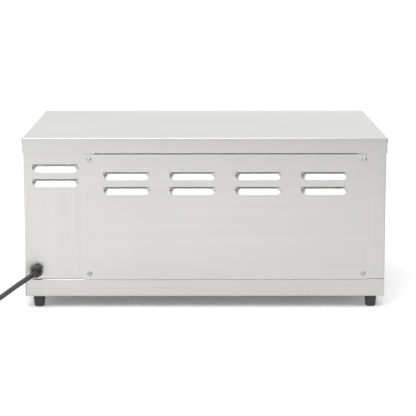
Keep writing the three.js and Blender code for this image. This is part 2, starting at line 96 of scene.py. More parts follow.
def filleted(corners, steps=5):
    """A line through (a, b) corners. A third number on a corner is the radius that rounds it."""
    line = []
    for i, corner in enumerate(corners):
        here = Vector(corner[:2])
        if len(corner) < 3 or i in (0, len(corners) - 1):
            line.append(here)
            continue
        before = Vector(corners[i - 1][:2]) - here
        after = Vector(corners[i + 1][:2]) - here
        half = before.angle(after) / 2
        reach = min(corner[2] / tan(half), before.length * 0.98, after.length * 0.98)
        radius = reach * tan(half)
        centre = here + (before.normalized() + after.normalized()).normalized() * radius / sin(half)
        start = here + before.normalized() * reach - centre
        turn = start.angle_signed(here + after.normalized() * reach - centre)
        for k in range(steps + 1):
            angle = turn * k / steps
            line.append(centre + Matrix.Rotation(-angle, 2) @ start)
    return line


def rounded_rectangle(u0, u1, v0, v1, radius, steps=6):
    """Points counter-clockwise, the same number for every radius."""
    radius = max(min(radius, (u1 - u0) / 2, (v1 - v0) / 2), 0.05)
    corners = [(u1, v1, 0), (u0, v1, 90), (u0, v0, 180), (u1, v0, 270)]
    points = []
    for u, v, start in corners:
        centre = Vector((u - radius if u == u1 else u + radius, v - radius if v == v1 else v + radius))
        for k in range(steps + 1):
            angle = radians(start + 90 * k / steps)
            points.append(centre + Vector((cos(angle), sin(angle))) * radius)
    return points


def circle(u, v, radius, sides):
    turns = [2 * pi * k / sides for k in range(sides)]
    return [Vector((u + radius * cos(a), v + radius * sin(a))) for a in turns]


PLACE = {
    "x": lambda u, v, w: Vector((w, u, v)),
    "y": lambda u, v, w: Vector((u, w, v)),
    "z": lambda u, v, w: Vector((u, v, w)),
}


# ---- Solids


def bridge(bm, one, other, closed=True):
    """A strip of faces between two rows of vertices. A repeated vertex leaves a triangle."""
    last = len(one) if closed else len(one) - 1
    for i in range(last):
        j = (i + 1) % len(one)
        corners = list(dict.fromkeys([one[i], one[j], other[j], other[i]]))
        if len(corners) > 2:
            bm.faces.new(corners)


def loft(rings, around=False):
    """A skin over rings of points. It is capped at both ends, or the last ring meets the first."""
    bm = bmesh.new()
    rows = [[bm.verts.new(point) for point in ring] for ring in rings]
    for one, other in zip(rows, rows[1:]):
        bridge(bm, one, other)
    if around:
        bridge(bm, rows[-1], rows[0])
    else:
        bm.faces.new(rows[0][::-1])
        bm.faces.new(rows[-1])
    return bm


def pan(axis, rect, profile, radius, around=False, steps=6):
    """A rounded rectangle swept along a profile of (inset, position), such as a folded pan."""
    u0, u1, v0, v1 = rect
    rings = []
    for inset, w in profile:
        ring = rounded_rectangle(u0 + inset, u1 - inset, v0 + inset, v1 - inset, radius - inset, steps)
        rings.append([PLACE[axis](u, v, w) for u, v in ring])
    return loft(rings, around=around)


def quarter(radius, steps=5):
    """(across, along) points of a quarter round, from one face round to the next."""
    turns = [pi / 2 * k / steps for k in range(steps + 1)]
    return [(radius * (1 - sin(a)), radius * (1 - cos(a))) for a in turns]


def cuboid(x0, x1, y0, y1, z0, z1, radius=0.5, steps=3):
    """A box with rounded edges."""
    arc = quarter(radius, steps)
    profile = [(inset, z0 + rise) for inset, rise in arc]
    profile += [(inset, z1 - rise) for inset, rise in arc[::-1]]
    return pan("z", (x0, x1, y0, y1), profile, radius, steps=steps)


def turned(axis, profile, at=(0, 0, 0), sides=48):
    """A solid of revolution; its profile is a list of (radius, position) from axis to axis."""
    bm = bmesh.new()
    rows = []
    for radius, w in profile:
        if radius < 1e-4:
            rows.append([bm.verts.new(PLACE[axis](0, 0, w))] * sides)
        else:
            rows.append([bm.verts.new(PLACE[axis](u, v, w)) for u, v in circle(0, 0, radius, sides)])
    for one, other in zip(rows, rows[1:]):
        bridge(bm, one, other)
    if rows[0][0] is not rows[0][1]:
        bridge(bm, rows[-1], rows[0])
    return moved(bm, at)


def lathed(axis, corners, at=(0, 0, 0), sides=48):
    """A solid of revolution whose profile has rounded corners."""
    return turned(axis, filleted(corners), at, sides)


def prism(axis, outline, w0, w1):
    """A straight prism with its outline in the plane across the axis."""
    return loft([[PLACE[axis](u, v, w) for u, v in outline] for w in (w0, w1)])


def sweep(points, section):
    """A section, a list of (u, v), carried along a line of points without twisting."""
    last = len(points) - 1
    tangents = []
    for i in range(len(points)):
        tangents.append((points[min(i + 1, last)] - points[max(i - 1, 0)]).normalized())
    normal = tangents[0].orthogonal().normalized()
    rings = []
    for point, tangent in zip(points, tangents):
        normal = (normal - tangent * normal.dot(tangent)).normalized()
        across = tangent.cross(normal)
        rings.append([point + normal * u + across * v for u, v in section])
    return loft(rings)


def moved(bm, at):
    """The same solid, carried to a place."""
    bmesh.ops.translate(bm, verts=bm.verts, vec=Vector(at))
    return bm


def rotated(bm, axis, angle):
    """The same solid, turned about the origin by an angle in degrees."""
    turn = Matrix.Rotation(radians(angle), 3, axis)
    bmesh.ops.rotate(bm, verts=bm.verts, cent=Vector((0, 0, 0)), matrix=turn)
    return bm


def outward(bm):
    """Joins a solid's points and turns its faces outwards."""
    bmesh.ops.remove_doubles(bm, verts=bm.verts, dist=0.002)
    bmesh.ops.recalc_face_normals(bm, faces=bm.faces)
    if bm.calc_volume(signed=True) < 0:
        bmesh.ops.reverse_faces(bm, faces=bm.faces)
    return bm


def scratch_object(bm):
    mesh = bpy.data.meshes.new("scratch")
    outward(bm).to_mesh(mesh)
    bm.free()
    made = bpy.data.objects.new("scratch", mesh)
    scene.collection.objects.link(made)
    return made


def evaluated_mesh(made):
    graph = bpy.context.evaluated_depsgraph_get()
    return bpy.data.meshes.new_from_object(made.evaluated_get(graph))


def combined(operation, base, *tools):
    """The boolean DIFFERENCE or UNION of solids."""
    body = scratch_object(base)
    for tool in tools:
        other = scratch_object(tool)
        modifier = body.modifiers.new("combine", "BOOLEAN")
        modifier.operation = operation
        modifier.solver = "EXACT"
        modifier.object = other
        result = evaluated_mesh(body)
        body.modifiers.clear()
        body.data = result
        bpy.data.objects.remove(other)
    bm = bmesh.new()
    bm.from_mesh(body.data)
    bpy.data.objects.remove(body)
    return bm


def cut(base, *tools):
    return combined("DIFFERENCE", base, *tools)


def joined(base, *others):
    return combined("UNION", base, *others)


# ---- Pieces


def piece(name, bm, look, body, *stands_for, bevel=0, sheet=0, sharp=32):
    """Turns a shape in millimetres into a finished piece that rides on a body.

    With a sheet thickness the shape is an open skin, thickened away from the side it faces.
    """
    if not sheet:
        outward(bm)
    bmesh.ops.scale(bm, verts=bm.verts, vec=(MM, MM, MM))
    mesh = bpy.data.meshes.new(name)
    bm.to_mesh(mesh)
    bm.free()
    made = bpy.data.objects.new(name, mesh)
    scene.collection.objects.link(made)
    mesh.shade_smooth()
    if sheet:
        thick = made.modifiers.new("sheet", "SOLIDIFY")
        thick.thickness = sheet * MM
        thick.offset = -1
        thick.use_even_offset = True
    if bevel:
        add_bevel(made, bevel)
    else:
        mesh.set_sharp_from_angle(angle=radians(sharp))
    weighted = made.modifiers.new("shading", "WEIGHTED_NORMAL")
    weighted.keep_sharp = True
    dress(made, look)
    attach(made, body)
    if stands_for:
        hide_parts(*stands_for)
    return made


def add_bevel(made, width, angle=35, segments=2):
    bevel = made.modifiers.new("edges", "BEVEL")
    bevel.width = width * MM
    bevel.segments = segments
    bevel.limit_method = "ANGLE"
    bevel.angle_limit = radians(angle)
    bevel.use_clamp_overlap = True


def dress(made, look):
    """Covers the whole piece in one look."""
    made.data.materials.clear()
    made.data.materials.append(LOOKS[look])
    for face in made.data.polygons:
        face.material_index = 0


# ---- Materials


class Look:
    """A principled material whose colour, roughness and relief come from nodes."""

    def __init__(self, name, sockets):
        self.material = bpy.data.materials.new(name)
        self.material.use_nodes = True
        self.tree = self.material.node_tree
        self.shader = self.tree.nodes["Principled BSDF"]
        for socket, value in sockets.items():
            self.shader.inputs[socket].default_value = value
        self.place = self.tree.nodes.new("ShaderNodeTexCoord").outputs["Object"]
        LOOKS[name] = self.material

    def node(self, kind, values, output=0):
        made = self.tree.nodes.new("ShaderNode" + kind)
        for name, value in values.items():
            if isinstance(value, bpy.types.NodeSocket):
                self.tree.links.new(value, made.inputs[name])
            else:
                made.inputs[name].default_value = value
        return made.outputs[output]

    def placed(self, cells, offset=0):
        """Coordinates with that many cells a metre along X, Y and Z."""
        return self.node("Mapping", {"Vector": self.place, "Scale": cells, "Location": (offset,) * 3})

    def noise(self, cells, detail=3, roughness=0.55, offset=0):
        values = {"Vector": self.placed(cells, offset), "Scale": 1, "Detail": detail}
        return self.node("TexNoise", {**values, "Roughness": roughness})

    def spread(self, value, low, high, at_low=0.3, at_high=0.7):
        ends = {"From Min": at_low, "From Max": at_high, "To Min": low, "To Max": high}
        return self.node("MapRange", {"Value": value, **ends})

    def colour(self, value, dark, light):
        made = self.tree.nodes.new("ShaderNodeValToRGB")
        made.color_ramp.elements[0].color = (*dark, 1)
        made.color_ramp.elements[1].color = (*light, 1)
        made.color_ramp.elements[0].position = 0.3
        made.color_ramp.elements[1].position = 0.7
        self.tree.links.new(value, made.inputs["Fac"])
        self.set("Base Color", made.outputs["Color"])

    def set(self, socket, value):
        self.tree.links.new(value, self.shader.inputs[socket])

    def relief(self, height, depth, strength=0.5):
        """Bumps of that depth in millimetres."""
        bump = {"Height": height, "Distance": depth * MM, "Strength": strength}
        self.set("Normal", self.node("Bump", bump))


LOOKS = {}


def brushed(name, grain, dark, light, rough):
    """Satin sheet: streaks along its grain, and a cloudy bloom from handling."""
    look = Look(name, {"Metallic": 1.0})

    def cells(along, across):
        return [along if axis == grain else across for axis in "xyz"]

    streaks = look.noise(cells(2.5, 60), 4, 0.55)
    lines = look.noise(cells(25, 900), 1, offset=3)
    bloom = look.noise((5, 5, 5), 3, offset=8)
    look.colour(streaks, dark, light)
    both = look.node("Math", {0: look.spread(bloom, *rough), 1: look.spread(streaks, -0.015, 0.015)})
    look.set("Roughness", both)
    look.relief(lines, 0.001, 0.1)


def galvanised(name, dark, light, rough):
    """Zinc, with its crystal spangle."""
    look = Look(name, {"Metallic": 1.0})
    vector = look.placed((110, 110, 110))
    spangle = look.node("TexVoronoi", {"Vector": vector, "Scale": 1.0, "Randomness": 1.0}, 1)
    value = look.node("SeparateColor", {"Color": spangle})
    look.colour(look.spread(value, 0.3, 0.7, 0, 1), dark, light)
    look.set("Roughness", look.spread(value, *rough, 0, 1))
    look.relief(look.noise((400, 400, 400)), 0.02, 0.3)


def metal(name, dark, light, rough, cells=60, relief=0.01):
    look = Look(name, {"Metallic": 1.0})
    mottle = look.noise((cells, cells, cells), 4)
    look.colour(mottle, dark, light)
    look.set("Roughness", look.spread(mottle, *rough))
    look.relief(look.noise((cells * 9,) * 3, 2, offset=5), relief, 0.3)


def moulded(name, dark, light, rough, sockets=None, cells=1500, relief=0.02):
    """Moulded plastic or rubber, with a fine spark-eroded grain."""
    look = Look(name, sockets or {})
    mottle = look.noise((35, 35, 35), 3)
    look.colour(mottle, dark, light)
    look.set("Roughness", look.spread(mottle, *rough))
    look.relief(look.noise((cells, cells, cells), 2, offset=4), relief, 0.5)


def clear(name, tint, rough, sockets):
    """Glass or a lens, with the faint unevenness of a wiped surface."""
    look = Look(name, {"Transmission Weight": 1.0, **sockets})
    smears = look.noise((14, 14, 60), 4)
    look.colour(smears, [0.96 * part for part in tint], tint)
    look.set("Roughness", look.spread(smears, *rough))


def add_looks():
    for grain in "xz":
        shades = (0.485, 0.482, 0.477), (0.515, 0.512, 0.507)
        brushed(f"stainless_{grain}", grain, *shades, (0.29, 0.33))
    brushed("cavity_steel", "x", (0.44, 0.437, 0.43), (0.52, 0.515, 0.505), (0.3, 0.42))
    galvanised("galvanised", (0.42, 0.43, 0.44), (0.62, 0.63, 0.64), (0.35, 0.55))
    metal("plated_screw", (0.36, 0.36, 0.36), (0.5, 0.5, 0.5), (0.2, 0.32))
    metal("chromed_steel", (0.66, 0.67, 0.68), (0.74, 0.75, 0.76), (0.1, 0.2))
    metal("element_steel", (0.05, 0.045, 0.04), (0.16, 0.13, 0.11), (0.4, 0.6), 120, 0.04)
    metal("brass_bush", (0.55, 0.4, 0.17), (0.68, 0.51, 0.25), (0.25, 0.4))
    moulded("rubber_foot", (0.022, 0.022, 0.023), (0.045, 0.045, 0.046), (0.55, 0.75))
    moulded("black_nylon", (0.009, 0.009, 0.01), (0.016, 0.016, 0.018), (0.3, 0.42))
    moulded("black_cord", (0.018, 0.018, 0.019), (0.034, 0.034, 0.035), (0.42, 0.55))
    moulded("terminal_ivory", (0.68, 0.62, 0.5), (0.76, 0.71, 0.6), (0.4, 0.55))
    moulded("white_print", (0.74, 0.74, 0.72), (0.82, 0.82, 0.8), (0.4, 0.5))
    moulded("black_print", (0.02, 0.02, 0.02), (0.04, 0.04, 0.04), (0.45, 0.55))
    clear("clear_glass", (0.9, 0.95, 0.93), (0.0, 0.03), {"IOR": 1.5})
    clear("red_lens", (0.8, 0.03, 0.02), (0.05, 0.12), {"IOR": 1.49, "Transmission Weight": 0.3})
    clear("amber_lens", (0.9, 0.36, 0.03), (0.05, 0.12), {"IOR": 1.49, "Transmission Weight": 0.3})


# ---- Stage

# Brightness of the walls and the ceiling, and where one gives way to the next. A reach is a pair
# of positions on the unit sphere of directions: along X for the rear wall's two ends, along Y for
# the change from the front wall to the rear wall, and along Z for the ceiling.
FRONT_LIGHT = 1.2
REAR_LIGHT = (0.0, 1.0)
REAR_REACH = (-0.05, 0.25)
TURN_REACH = (-0.5, 0.5)
OVERHEAD_LIGHT = 1.0
OVERHEAD_REACH = (0.15, 0.6)
FLOOR_REACH = 60  # metres
FLOOR_GLOW = 0.12


def area_light(name, at, towards, size, watts, spread):
    data = bpy.data.lights.new(name, "AREA")
    data.shape = "RECTANGLE"
    data.size, data.size_y = size
    data.energy = watts
    light = bpy.data.objects.new(name, data)
    light.location = at
    light.rotation_euler = (Vector(towards) - Vector(at)).to_track_quat("-Z", "Y").to_euler()
    light.visible_camera = False
    data.spread = radians(spread)
    scene.collection.objects.link(light)


def add_world():
    """A white studio: even in front, brighter towards +X behind. It looks plain white itself."""
    world = bpy.data.worlds.new("studio")
    world.use_nodes = True
    scene.world = world
    nodes, links = world.node_tree.nodes, world.node_tree.links
    direction = nodes.new("ShaderNodeSeparateXYZ")
    links.new(nodes.new("ShaderNodeTexCoord").outputs["Generated"], direction.inputs[0])

    def spread(value, ends):
        made = nodes.new("ShaderNodeMapRange")
        made.interpolation_type = "SMOOTHSTEP"
        links.new(value, made.inputs["Value"])
        for i, end in enumerate(ends, start=1):
            made.inputs[i].default_value = end
        return made.outputs[0]

    mix = nodes.new("ShaderNodeMix")
    links.new(spread(direction.outputs["Z"], (*OVERHEAD_REACH, 0, 1)), mix.inputs["Factor"])
    walls = nodes.new("ShaderNodeMix")
    links.new(spread(direction.outputs["Y"], (*TURN_REACH, 0, 1)), walls.inputs["Factor"])
    walls.inputs["A"].default_value = FRONT_LIGHT
    links.new(spread(direction.outputs["X"], (*REAR_REACH, *REAR_LIGHT)), walls.inputs["B"])
    links.new(walls.outputs[0], mix.inputs["A"])
    mix.inputs["B"].default_value = OVERHEAD_LIGHT
    nodes["Background"].inputs["Color"].default_value = (1, 1, 1, 1)
    links.new(mix.outputs[0], nodes["Background"].inputs["Strength"])
    seen = nodes.new("ShaderNodeMixShader")
    plain = nodes.new("ShaderNodeBackground")
    plain.inputs["Color"].default_value = (1, 1, 1, 1)
    links.new(nodes.new("ShaderNodeLightPath").outputs["Is Camera Ray"], seen.inputs[0])
    links.new(nodes["Background"].outputs[0], seen.inputs[1])
    links.new(plain.outputs[0], seen.inputs[2])
    links.new(seen.outputs[0], nodes["World Output"].inputs["Surface"])


def add_stage():
    bm = bmesh.new()
    ends = ((-1, -1), (1, -1), (1, 1), (-1, 1))
    bm.faces.new([bm.verts.new((x * FLOOR_REACH, y * FLOOR_REACH, -0.0002)) for x, y in ends])
    mesh = bpy.data.meshes.new("floor")
    bm.to_mesh(mesh)
    bm.free()
    floor = bpy.data.objects.new("floor", mesh)
    scene.collection.objects.link(floor)
    sockets = {"Roughness": 0.8, "Specular IOR Level": 0.2, "Emission Strength": FLOOR_GLOW}
    look = Look("pale_floor", sockets)
    look.colour(look.noise((3, 3, 3)), (0.88, 0.88, 0.88), (0.9, 0.9, 0.9))
    floor.data.materials.append(look.material)
    add_world()
    area_light("key", (0.8, 2.1, 1.7), (0.9, 1.5, 0), (2.6, 1.8), 27, 110)
    area_light("top", (-0.3, 0.0, 2.0), (-0.3, 0.0, 0), (2.4, 2.0), 5, 140)
    scene.view_settings.view_transform = "Standard"


# ---- Cord

CORD_RADIUS = 4
# The stretch that isn't coiled, from the gland to the coil. X, Y from the casing's rear face, Z.
CORD_ROUTE = [
    (271.0, 22.6, 62.2),
    (271.1, 29.5, 62.4),
    (272.6, 38.0, 62.2),
    (275.6, 45.7, 61.2),
    (279.9, 52.1, 59.3),
    (286.0, 57.7, 56.0),
    (293.6, 61.7, 51.3),
    (302.6, 64.1, 45.2),
    (318.0, 66.5, 34.2),
    (332.0, 68.8, 24.6),
    (345.0, 71.4, 16.2),
    (354.0, 73.4, 10.9),
    (361.5, 74.8, 7.3),
    (369.5, 75.7, 5.0),
    (384.5, 75.9, 4.5),
]
# The coil has two layers, each with a wide and a narrow turn. Its radii and heights are those of
# the cord's centreline.
COIL = {"wide": 50.4, "narrow": 42.0, "floor": 4.9, "layer": 8.1, "turns": 4.25}


def smooth_line(points, step):
    """A Catmull-Rom line through the points, with a point about every step."""
    line = []
    ends = [points[0] * 2 - points[1], *points, points[-1] * 2 - points[-2]]
    for a, b, c, d in zip(ends, ends[1:], ends[2:], ends[3:]):
        count = max(1, ceil((c - b).length / step))
        for k in range(count):
            t = k / count
            bend = (2 * a - 5 * b + 4 * c - d) * t**2 + (3 * b - a - 3 * c + d) * t**3
            line.append(0.5 * (2 * b + (c - a) * t + bend))
    return [*line, points[-1]]


def eased(turns, start, share=0.25):
    """0 before start, 1 a quarter turn later, with a smooth change between."""
    t = min(max((turns - start) / share, 0), 1)
    return (1 - cos(pi * t)) / 2


def coil_point(centre, turns):
    """The coil's centreline. It winds in, up, out and up again, at a different place on each turn."""
    inwards = eased(turns, 0.715) - eased(turns, 2.405)
    upwards = eased(turns, 1.56) + eased(turns, 3.25)
    radius = COIL["wide"] + (COIL["narrow"] - COIL["wide"]) * inwards
    angle = pi / 2 - 2 * pi * turns
    height = COIL["floor"] + COIL["layer"] * upwards
    return centre + Vector((radius * cos(angle), radius * sin(angle), height))


def add_cord():
    _, x1, _, y1, _, _ = span("cord_coil")
    rear = span("left_side_panel")[3]
    margin = COIL["wide"] + CORD_RADIUS + 0.2
    centre = Vector((x1 - margin, y1 - margin, 0))
    route = [Vector((x, rear + y, z)) for x, y, z in CORD_ROUTE]
    per_turn = 64
    coil = [coil_point(centre, k / per_turn) for k in range(int(COIL["turns"] * per_turn) + 1)]
    neck = middle("plug").copy()
    neck.y = span("plug")[3]
    inside = Vector((0, -7, 0))
    tail = [coil[-1] + Vector((0, -d, 0)) for d in (12, 26, 40)]
    tail[1].z -= 0.6
    tail[2].z -= 1.6
    entry = [route[0] + inside, *route, *coil[:1]]
    line = smooth_line(entry, 3)[:-1] + coil[:-1]
    line += smooth_line([coil[-1], *tail, neck, neck + inside], 3)
    round_cord = sweep(line, circle(0, 0, CORD_RADIUS, 20))
    cord = piece("mains_cord", round_cord, "black_cord", "casing", "power_cord", "cord_coil")
    tie = piece("cord_tie", coil_tie(centre), "black_nylon", "casing")
    plug = add_plug()


def coil_tie(centre):
    """A flat tie drawn tight round the coil, with its head on the outside."""
    turns = 0.12
    thick, width = 0.8, 4.8
    wide, narrow, low, layer = COIL["wide"], COIL["narrow"], COIL["floor"], COIL["layer"]
    slant = degrees(atan2(wide - narrow, layer)) + 90
    stops = [(wide, low, -90, 0), (wide, low + 2 * layer, 0, slant)]
    stops += [(narrow, low + layer, slant, 180), (narrow, low, 180, 270)]

    def outline(radius):
        points = []
        for r, z, start, end in stops:
            count = ceil((end - start) / 12)
            for k in range(count + 1):
                angle = radians(start + (end - start) * k / count)
                points.append(Vector((r + radius * cos(angle), z + radius * sin(angle))))
        return points

    inner, outer = outline(CORD_RADIUS + 0.05), outline(CORD_RADIUS + 0.05 + thick)
    half = width / 2
    rings = []
    for line, w in ((inner, -half), (inner, half), (outer, half), (outer, -half)):
        rings.append([Vector((r, w, z)) for r, z in line])
    band = loft(rings, around=True)
    reach = wide + CORD_RADIUS + thick
    middle_z = low + layer
    head = cuboid(reach - 0.4, reach + 3.8, -3.6, 3.6, middle_z - 3.2, middle_z + 3.2, 0.7)
    tail = cuboid(reach + 0.9, reach + 2.1, -2.2, 2.2, middle_z + 2, middle_z + layer + 5.5, 0.4)
    return moved(rotated(joined(band, head, tail), "Z", 90 - 360 * turns), centre)


def add_plug():
    """A moulded two-pin earthed plug that lies on its side, pins towards -Y."""
    x0, x1, _, y1, z0, z1 = span("plug")
    radius, pin_radius, pin_reach, pin_gap, clip_at = 18.4, 2.4, 19.8, 19, 15.6
    at = ((x0 + x1) / 2, y1, (z0 + z1) / 2)
    face = -52
    shape = [(0, 0), (5.6, 0, 0.8), (7.2, -19, 4), (12.4, -23, 6), (radius, -35, 5)]
    body = lathed("y", [*shape, (radius, face, 1.2), (0, face)], at, 72)
    grooves = []
    for k in range(5):
        y = -3.2 - 3.4 * k
        ring = [(8.5, y - 0.7), (8.5, y + 0.7), (4.9, y + 0.7), (4.9, y - 0.7)]
        grooves.append(moved(lathe_ring("y", ring, 40), at))
    shape = [(0, face - 1), (15.4, face - 1), (15.4, face + 1.6, 0.3), (0, face + 1.6)]
    recess = lathed("y", shape, at)
    slots = []
    for z in (-clip_at, clip_at):
        slots.append(moved(cuboid(-3, 3, face - 2, face + 24, z - 1.4, z + 4, 0.4), at))
    plug = piece("mains_plug", cut(body, recess, *grooves, *slots), "black_cord", "casing", "plug")
    tip = face - pin_reach
    shape = [(0, face + 4), (pin_radius, face + 4), (pin_radius, tip + 1, 1.2)]
    shape += [(0.8, tip, 0.4), (0, tip)]
    for side, name in ((-1, "left"), (1, "right")):
        pin = lathed("y", shape, (at[0] + side * pin_gap / 2, at[1], at[2]), 28)
        made = piece(f"plug_pin_{name}", pin, "plated_screw", "casing")
        made.parent = plug
    for side, name in ((-1, "lower"), (1, "upper")):
        clip = cuboid(-2.2, 2.2, face + 0.6, face + 20, side * 15.7 - 0.6, side * 15.7 + 0.6, 0.3)
        strip = piece(f"plug_earth_strip_{name}", moved(clip, at), "brass_bush", "casing")
        strip.parent = plug
    return plug


def lathe_ring(axis, section, sides):
    """A closed ring of that section round the axis."""
    rings = []
    for k in range(sides):
        turn = 2 * pi * k / sides
        rings.append([PLACE[axis](r * cos(turn), r * sin(turn), w) for r, w in section])
    return loft(rings, around=True)


# ---- Sheet with louvres

LOUVRE = {"length": 74.5, "height": 12.8, "lip": 1.4, "root": 1.6, "slope": radians(25)}
LOUVRE_DEPTH, LOUVRE_DROP = 4.6, 1.9  # the drop leaves a slit above the deep part
LOUVRE_PITCH = {"across": 105.2, "down": 23.7}
BORDER = 0.8  # a flat strip round each edge, which keeps its shading apart from the bend's


def offset(points, distance):
    """A closed outline moved inwards, for points that run counter-clockwise."""
    made = []
    for i, here in enumerate(points):
        before, after = here - points[i - 1], points[(i + 1) % len(points)] - here
        one, other = (Vector((-side.y, side.x)).normalized() for side in (before, after))
        made.append(here + (one + other) * distance / (1 + one.dot(other)))
    return made


def louvre_line(u, top, inset, drop=0, steps=8):
    """The U-shaped outline of a louvre, from its top left round to its top right."""
    half = LOUVRE["length"] / 2 - 0.62 * inset
    bottom = top - LOUVRE["height"] + inset
    wide, high = 9 - 0.6 * inset, 9.4 - 0.9 * inset
    line = [Vector((u - half, top - drop))]
    for centre, start in ((u - half + wide, 180), (u + half - wide, 270)):
        for k in range(steps + 1):
            angle = radians(start + 90 * k / steps)
            line.append(Vector((centre + wide * cos(angle), bottom + high + high * sin(angle))))
    return [*line, Vector((u + half, top - drop))]


def louvre_profile(steps=5):
    """(inset, depth) down the pressed side: over a lip, down a straight ramp, and round the root."""
    lip, root, slope = LOUVRE["lip"], LOUVRE["root"], LOUVRE["slope"]
    bends = (lip + root) * (1 - cos(slope))
    run = (LOUVRE_DEPTH - bends) / sin(slope) * cos(slope)
    width = (lip + root) * sin(slope) + run
    turns = [slope * k / steps for k in range(1, steps + 1)]
    over = [(lip * sin(a), lip * (1 - cos(a))) for a in turns]
    under = [(width - root * sin(a), LOUVRE_DEPTH - root * (1 - cos(a))) for a in turns[::-1]]
    return [(0, 0), *over, *under, (width, LOUVRE_DEPTH)]


def add_louvre(bm, place, u, top):
    """Presses one louvre, open along its top, and returns the loop of vertices round it."""
    rows = []
    for inset, depth in louvre_profile():
        line = louvre_line(u, top, inset, LOUVRE_DROP * depth / LOUVRE_DEPTH)
        rows.append([bm.verts.new(place(p.x, p.y, depth)) for p in line])
    for one, other in zip(rows, rows[1:]):
        bridge(bm, one, other, closed=False)
    bm.faces.new(rows[-1])
    ring = [bm.verts.new(place(p.x, p.y, 0)) for p in louvre_line(u, top, -BORDER)]
    bridge(bm, rows[0], ring, closed=False)
    reach = LOUVRE["length"] / 2 + BORDER
    above = [bm.verts.new(place(u + side * reach, top + BORDER, 0)) for side in (1, -1)]
    bm.faces.new([ring[0], rows[0][0], rows[0][-1], ring[-1], *above])
    return [*ring, *above]


def add_skin(bm, place, outline, holes=(), louvres=()):
    """A flat skin with round holes and louvres. Returns the vertices of its outline."""
    edge = [bm.verts.new(place(p.x, p.y, 0)) for p in outline]
    inner = [bm.verts.new(place(p.x, p.y, 0)) for p in offset(outline, BORDER)]
    bridge(bm, edge, inner)
    loops = [inner]
    for u, v, radius in holes:
        rim, ring = (
            [bm.verts.new(place(*p, 0)) for p in circle(u, v, r, 24)]
            for r in (radius, radius + BORDER)
        )
        bridge(bm, rim, ring)
        loops.append(ring)
    loops += [add_louvre(bm, place, u, top) for u, top in louvres]
    edges = []
    for loop in loops:
        for one, other in zip(loop, loop[1:] + loop[:1]):
            edges.append(bm.edges.get((one, other)) or bm.edges.new((one, other)))
    bmesh.ops.triangle_fill(bm, edges=edges, use_beauty=True)
    return edge


def face_towards(bm, direction):
    """Makes an open skin's faces agree, with its largest face towards the direction."""
    bmesh.ops.recalc_face_normals(bm, faces=bm.faces)
    largest = max(bm.faces, key=lambda face: face.calc_area())
    if largest.normal.dot(Vector(direction)) < 0:
        bmesh.ops.reverse_faces(bm, faces=bm.faces)
    return bm


# ---- Casing

SCREW_HOLE = 2.4
GLAND_HOLE = 8.2
COVER_SCREWS = [
    f"rear_cover_screw_{height}_{side}" for height in ("lower", "upper") for side in ("left", "right")
]


def add_lid():
    x0, x1, y0, y1, z0, z1 = span("lid")
    far = BEND + BORDER
    profile = filleted(
        [
            (far, z1),
            (0, z1, BEND),
            (0, z0, 0.3),
            (SHEET, z0, 0.3),
            (SHEET, z1 - SHEET, BEND - SHEET),
            (far, z1 - SHEET),
        ]
    )
    shell = pan("z", (x0, x1, y0, y1), profile, BEND)
    at = middle("lid_screw_left")
    shape = [(0, x0 - 1), (SCREW_HOLE, x0 - 1), (SCREW_HOLE, x1 + 1), (0, x1 + 1)]
    hole = turned("x", shape, (0, at.y, at.z), 24)
    piece("lid_shell", cut(shell, hole), "stainless_x", "casing", "lid")


def add_side_panel(side, sign):
    """The flange at the rear, the fold and the side wall are one sheet."""
    x0, x1, y0, y1, z0, z1 = span(f"{side}_side_panel")
    free, outer = (x0, x1) if sign > 0 else (x1, x0)
    fold = outer - sign * BEND
    bm = bmesh.new()
    screws = [middle(name) for name in COVER_SCREWS if name.endswith(side)]
    holes = [(at.x, at.z, SCREW_HOLE) for at in screws]
    louvres = []
    if side == "right":
        gland = middle("cord_gland")
        holes.append((gland.x, gland.z, GLAND_HOLE))
        from_side, from_lid = 50.5, 18
        top = span("lid")[4] - from_lid
        louvres = [(outer - from_side, top), (outer - from_side, top - LOUVRE_PITCH["down"])]

    def on_flange(u, v, depth):
        return Vector((u, y1 - depth, v))

    def on_wall(u, v, depth):
        return Vector((outer - sign * depth, u, v))

    low_x, high_x = sorted((free, fold))
    flange = add_skin(bm, on_flange, corners(low_x, high_x, z0, z1), holes, louvres)
    at = middle("lid_screw_left")
    wall = add_skin(bm, on_wall, corners(y0, y1 - BEND, z0, z1), [(at.y, at.z, SCREW_HOLE)])
    low, high = (1, 2) if sign > 0 else (0, 3)
    rows = [[flange[low], flange[high]]]
    steps = 6
    for k in range(1, steps):
        angle = radians(90 * k / steps)
        x, y = fold + sign * BEND * sin(angle), y1 - BEND + BEND * cos(angle)
        rows.append([bm.verts.new((x, y, z)) for z in (z0, z1)])
    rows.append([wall[1], wall[2]])
    for one, other in zip(rows, rows[1:]):
        bridge(bm, one, other, closed=False)
    face_towards(bm, (sign, 0, 0))
    name, node = f"{side}_panel_sheet", f"{side}_side_panel"
    piece(name, bm, "stainless_z", "casing", node, sheet=SHEET, bevel=0.2)


def corners(u0, u1, v0, v1):
    return [Vector(p) for p in ((u0, v0), (u1, v0), (u1, v1), (u0, v1))]


def add_rear_cover():
    x0, x1, _, face, z0, z1 = span("rear_cover")
    from_edge, from_top, columns = 67.75, 28.9, 4
    louvres = []
    for row in range(2):
        for column in range(columns):
            u = x1 - from_edge - column * LOUVRE_PITCH["across"]
            louvres.append((u, z1 - from_top - row * LOUVRE_PITCH["down"]))
    screws = [middle(name) for name in COVER_SCREWS]
    outline = rounded_rectangle(x0, x1, z0, z1, 1.6)
    bm = bmesh.new()
    holes = [(at.x, at.z, SCREW_HOLE) for at in screws]
    add_skin(bm, lambda u, v, depth: Vector((u, face - depth, v)), outline, holes, louvres)
    face_towards(bm, (0, 1, 0))
    piece("rear_cover_sheet", bm, "stainless_x", "casing", "rear_cover", sheet=1.0, bevel=0.2)


